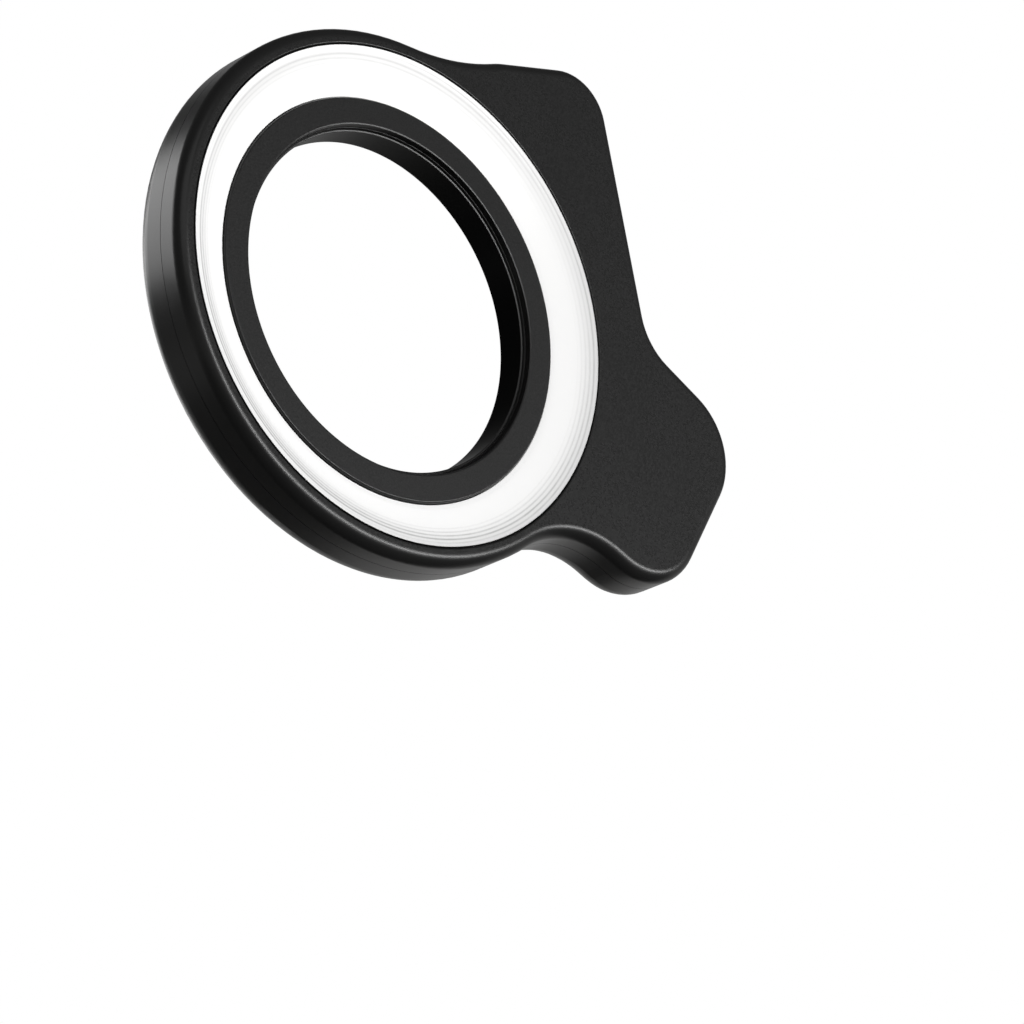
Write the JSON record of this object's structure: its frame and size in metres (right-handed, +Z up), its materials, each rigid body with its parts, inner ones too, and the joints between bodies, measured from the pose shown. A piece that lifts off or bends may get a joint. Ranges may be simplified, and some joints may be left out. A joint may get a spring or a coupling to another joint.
{
  "type": "macro ring light",
  "caption": "Ring light for a macro lens: a white diffuser ring in a black casing with a grip at one side, and an adapter that screws into the lens's filter thread and turns freely.",
  "frame": {"origin": "on the optical axis, in the plane where the rim of the lens seats on the lens adapter", "axes": "+Y along the optical axis, backwards to the lens and camera; +X to the grip; +Z up"},
  "size_m": [0.0943, 0.01, 0.0771],
  "materials": {
    "casing_plastic": "fine moulded grain",
    "diffuser_white": "satin opal, fine concentric ribs near the rim",
    "bezel_plastic": "fine moulded grain",
    "anodised_black": "black anodised, turned",
    "washer_plastic": "smooth",
    "board_white": "white solder mask",
    "led_yellow": "phosphor under clear resin",
    "tray_white": "smooth",
    "board_green": "solder mask",
    "socket_steel": "plated steel",
    "chip_black": "moulded epoxy",
    "switch_black": "smooth",
    "button_rubber": "matte",
    "pipe_clear": "clear",
    "indicator_white": "clear resin",
    "cell_foil": "foil pouch",
    "foam_pad": "foam tape",
    "plug_white": "smooth",
    "lead_red": "wire sheath",
    "lead_black": "wire sheath",
    "lead_white": "wire sheath",
    "screw_black": "black oxide"
  },
  "bodies": {
    "lens_adapter": {"lens_adapter_ring": "anodised_black"},
    "housing": {"front_shell": "casing_plastic", "rear_shell": "casing_plastic", "diffuser_ring": "diffuser_white", "inner_bezel": "bezel_plastic", "retaining_ring": "anodised_black", "friction_washer": "washer_plastic", "led_board": "board_white", "leds": "led_yellow", "reflector_tray": "tray_white", "main_board": "board_green", "charge_socket": "socket_steel", "socket_tongue": "chip_black", "power_inductor": "chip_black", "board_chips": "chip_black", "button_switches": "switch_black", "battery_light_pipe": "pipe_clear", "battery_lights": "indicator_white", "battery_cell": "cell_foil", "battery_pad": "foam_pad", "battery_plug": "plug_white", "battery_lead_red": "lead_red", "battery_lead_black": "lead_black", "led_leads": "lead_white", "case_screws": "screw_black"},
    "power_button": {"power_button": "button_rubber"},
    "brighter_button": {"brighter_button": "button_rubber"},
    "dimmer_button": {"dimmer_button": "button_rubber"}
  },
  "joints": [
    {"name": "ring_swivel", "type": "hinge", "parent": "lens_adapter", "child": "housing", "pos_m": [0, 0, 0], "axis": [0, 1, 0], "continuous": true},
    {"name": "power_button_press", "type": "slide", "parent": "housing", "child": "power_button", "axis": [0, -1, 0], "range_m": [0, 0.00035], "stiffness_N_per_m": 1200, "springref_m": -0.0004},
    {"name": "brighter_button_press", "type": "slide", "parent": "housing", "child": "brighter_button", "axis": [0, -1, 0], "range_m": [0, 0.00035], "stiffness_N_per_m": 1200, "springref_m": -0.0004},
    {"name": "dimmer_button_press", "type": "slide", "parent": "housing", "child": "dimmer_button", "axis": [0, -1, 0], "range_m": [0, 0.00035], "stiffness_N_per_m": 1200, "springref_m": -0.0004}
  ]
}
